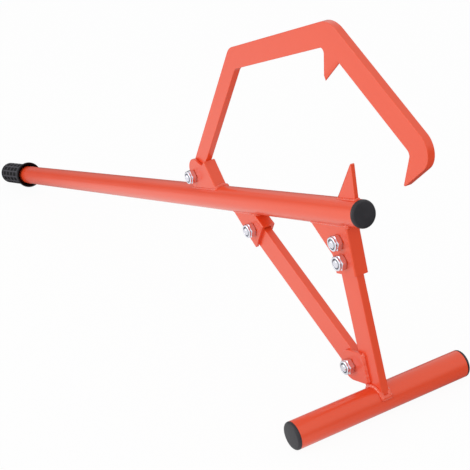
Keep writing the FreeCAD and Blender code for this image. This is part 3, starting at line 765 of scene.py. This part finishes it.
def nut_profile():
    """A lock nut about X: its seat at 0, and towards +X its collar with the ring's recess."""
    lip = (NUT_HEIGHT - COLLAR_ROUND, NUT_COLLAR - COLLAR_ROUND)
    mouth = (NUT_HEIGHT - RECESS_ROUND, RECESS_RADIUS + RECESS_ROUND)
    floor = NUT_HEIGHT - RECESS_DEPTH
    points = [(0.0, SHANK), (0.0, HEX_CHAMFER)]
    points += slope((NUT_SEAT, HEX_CHAMFER), (CHAMFER_HEIGHT, HEX_CORNER))
    points += slope((NUT_HEX - CHAMFER_HEIGHT, HEX_CORNER), (NUT_HEX, HEX_CHAMFER))
    points += [(NUT_HEX + COLLAR_FOOT, NUT_COLLAR - COLLAR_FLARE), (NUT_HEX + COLLAR_FLARE, NUT_COLLAR)]
    points += quarter(lip, COLLAR_ROUND, 90, 0, 6)
    points += quarter(mouth, RECESS_ROUND, 0, -90, 3)
    return points + [(floor, RECESS_RADIUS), (floor, SHANK), (0.0, SHANK)]


def ring_profile():
    """A nylon ring about X, its seat at 0, and its outer face swollen by the thread."""
    face = RING_HEIGHT - RING_SWELL
    points = [(0.0, SHANK), (0.0, RECESS_RADIUS), (face, RECESS_RADIUS)]
    points += quarter((face, (SHANK + RECESS_RADIUS) / 2), RING_SWELL, 90, -90, 8)
    return points + [(face, SHANK), (0.0, SHANK)]


def solids_of(node):
    """The box of each separate solid of a node, in the tool's frame."""
    work = closed_copy(node)
    work.transform(UPRIGHT)
    waiting = set(work.verts)
    boxes = []
    while waiting:
        front = [waiting.pop()]
        found = []
        while front:
            vertex = front.pop()
            found.append(vertex.co.copy())
            beside = {edge.other_vert(vertex) for edge in vertex.link_edges} & waiting
            waiting -= beside
            front += beside
        boxes.append((Vector(map(min, zip(*found))), Vector(map(max, zip(*found)))))
    work.free()
    return boxes


def copies_tree():
    """Sets a copy of one fastener at each point of a mesh, turned as its axis lies."""
    graph, given = new_tree("fastener_copies", {"Fastener": "Object", "Turn": "Vector"})
    shape = graph.add("GeometryNodeObjectInfo", {"Object": given["Fastener"]}, output="Geometry")
    points = graph.add("GeometryNodeMeshToPoints", {"Mesh": given["Geometry"]})
    set_out = graph.add("GeometryNodeInstanceOnPoints", {
        "Points": points, "Instance": shape, "Rotation": given["Turn"]})
    end_tree(graph, set_out, given["Material"])
    return graph


COPIES = copies_tree()


def fasten(node, mesh, seats, turn, material):
    """Puts a fastener on each of its seats, in place of a CAD node."""
    pattern = new_piece("pattern", mesh)
    spots = bpy.data.meshes.new(f"set_{node}")
    spots.from_pydata(seats, [], [])
    piece = grow(f"set_{node}", spots, COPIES, {
        "Fastener": pattern, "Turn": Vector((0.0, 0.0, turn)), "Material": material})
    bpy.data.objects.remove(pattern)
    even_shading(piece)
    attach(piece, frame["nodes"][node]["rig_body"])
    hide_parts(node)


def seats_of(boxes, drop=0.0):
    """Where each fastener's axis meets its seat, so far below its box's +Y side."""
    return [((low.x + high.x) / 2, high.y - drop, (low.z + high.z) / 2) for low, high in boxes]


ZINC = bright_zinc()
NYLON = dark_nylon()
for node in ("pivot_bolt", "leg_bolts", "brace_bolts"):
    boxes = solids_of(node)
    length = boxes[0][1].y - boxes[0][0].y - HEAD_HEIGHT
    mesh = turned(node, bolt_profile(length), HEX_TURNS, hexagon)
    fasten(node, mesh, seats_of(boxes, HEAD_HEIGHT), math.pi / 2, ZINC)
for node in ("pivot_nut", "leg_nuts", "brace_nuts"):
    mesh = turned(node, nut_profile(), HEX_TURNS, hexagon)
    fasten(node, mesh, seats_of(solids_of(node)), -math.pi / 2, ZINC)
rings = turned("nut_rings", ring_profile(), HEX_TURNS)
fasten("nut_rings", rings, seats_of(solids_of("nut_rings")), -math.pi / 2, NYLON)


# Studio: a white sweep under soft, even light from the front and from beside the camera. The far
# end of the room is white, and its near end is dim, which is what gloss and metal show of it.
FLOOR_SIDE = 18.0
FLOOR_DROP = 0.2 * MM
FLOOR_COLOUR = (0.86, 0.86, 0.86, 1)
WHITE = (1, 1, 1, 1)
WORLD_LIGHT = 0.80
FLOOR_GLOW_SHARE = 0.95
DIM_FLOOR = 0.05
DIM_SKY = 0.08
# each side: a direction, and how far along it the background is still dim and then all white
FLOOR_SIDES = [((-0.35, -0.94, 0), -0.4, 0.0), ((0.5, -0.85, 0), -0.4, -0.06)]
SKY_SIDES = [((0, 0.3, 0.95), 0.0, 0.60), ((0, -1, 0), 0.24, 0.50)]
CAMERA_PLACE = (1.58072, -0.68699, 0.72443)
CAMERA_TURN = (68.477, 7.754, 59.766)
CAMERA_LENS = 94.034


def ray(graph, kind):
    """1 for rays of one kind: Camera, Glossy or Transmission."""
    return graph.add("ShaderNodeLightPath", output=f"Is {kind} Ray")


def seen(graph):
    """1 for rays that show the background: straight from the camera, or off gloss or glass."""
    direct, gloss, glass = [ray(graph, kind) for kind in ("Camera", "Glossy", "Transmission")]
    return direct.maths("MAXIMUM", direct, gloss.maths("MAXIMUM", gloss, glass))


def whiteness(graph, white_sides, join, dim_end):
    """The background's strength: white to the camera, dimmer in gloss and glass off its white sides."""
    place = graph.add("ShaderNodeTexCoord", output="Object")
    grades = []
    for side, dim_at, white_at in white_sides:
        toward = graph.add("ShaderNodeVectorMath", {0: place, 1: side}, output="Value",
                           operation="DOT_PRODUCT")
        grades.append(graph.grade(toward, dim_at, white_at, dim_end, interpolation_type="SMOOTHSTEP"))
    joined = grades[0].maths(join, *grades)
    return joined.maths("MAXIMUM", joined, ray(graph, "Camera"))


def white_floor():
    """A white sweep that glows with the background, and still takes the object's shadow."""
    material = bpy.data.materials.new("white_sweep")
    graph = empty_graph(material)
    lit = graph.add("ShaderNodeBsdfDiffuse", {"Color": FLOOR_COLOUR})
    glow = graph.add("ShaderNodeEmission", {
        "Color": WHITE, "Strength": whiteness(graph, FLOOR_SIDES, "MINIMUM", DIM_FLOOR)})
    both = graph.add("ShaderNodeMixShader", {0: seen(graph) * FLOOR_GLOW_SHARE, 1: lit, 2: glow})
    graph.add("ShaderNodeOutputMaterial", {"Surface": both})
    return material


def soft_box(name, place, target, side, power):
    """A square lamp that faces a point."""
    light = bpy.data.lights.new(name, "AREA")
    light.shape = "SQUARE"
    light.size = side
    light.energy = power
    lamp = bpy.data.objects.new(name, light)
    lamp.location = place
    lamp.rotation_euler = (Vector(target) - Vector(place)).to_track_quat("-Z", "Y").to_euler()
    bpy.context.scene.collection.objects.link(lamp)


corners = [(x * FLOOR_SIDE / 2, y * FLOOR_SIDE / 2, -FLOOR_DROP)
           for x, y in ((-1, -1), (1, -1), (1, 1), (-1, 1))]
sweep = bpy.data.meshes.new("sweep")
sweep.from_pydata(corners, [], [(0, 1, 2, 3)])
sweep.materials.append(white_floor())
new_piece("sweep", sweep)
soft_box("side_box", (-0.6, -2.5, 1.0), (0.0, 0, 0.2), 1.6, 20.0)
soft_box("front_box", (2.6, -0.9, 1.0), (0.2, 0, 0.2), 1.4, 6.5)

world = bpy.data.worlds.new("studio")
sky = empty_graph(world)
shown = seen(sky)
strength = shown * whiteness(sky, SKY_SIDES, "MAXIMUM", DIM_SKY) + (1.0 - shown) * WORLD_LIGHT
back = sky.add("ShaderNodeBackground", {"Color": WHITE, "Strength": strength})
sky.add("ShaderNodeOutputWorld", {"Surface": back})
bpy.context.scene.world = world

lens = bpy.data.cameras.new("camera")
lens.lens = CAMERA_LENS
lens.sensor_width = 36.0
lens.clip_start = 0.01
lens.clip_end = 100.0
camera = bpy.data.objects.new("camera", lens)
camera.location = CAMERA_PLACE
camera.rotation_euler = [math.radians(turn) for turn in CAMERA_TURN]
bpy.context.scene.collection.objects.link(camera)
bpy.context.scene.camera = camera
bpy.context.scene.view_settings.view_transform = "Standard"
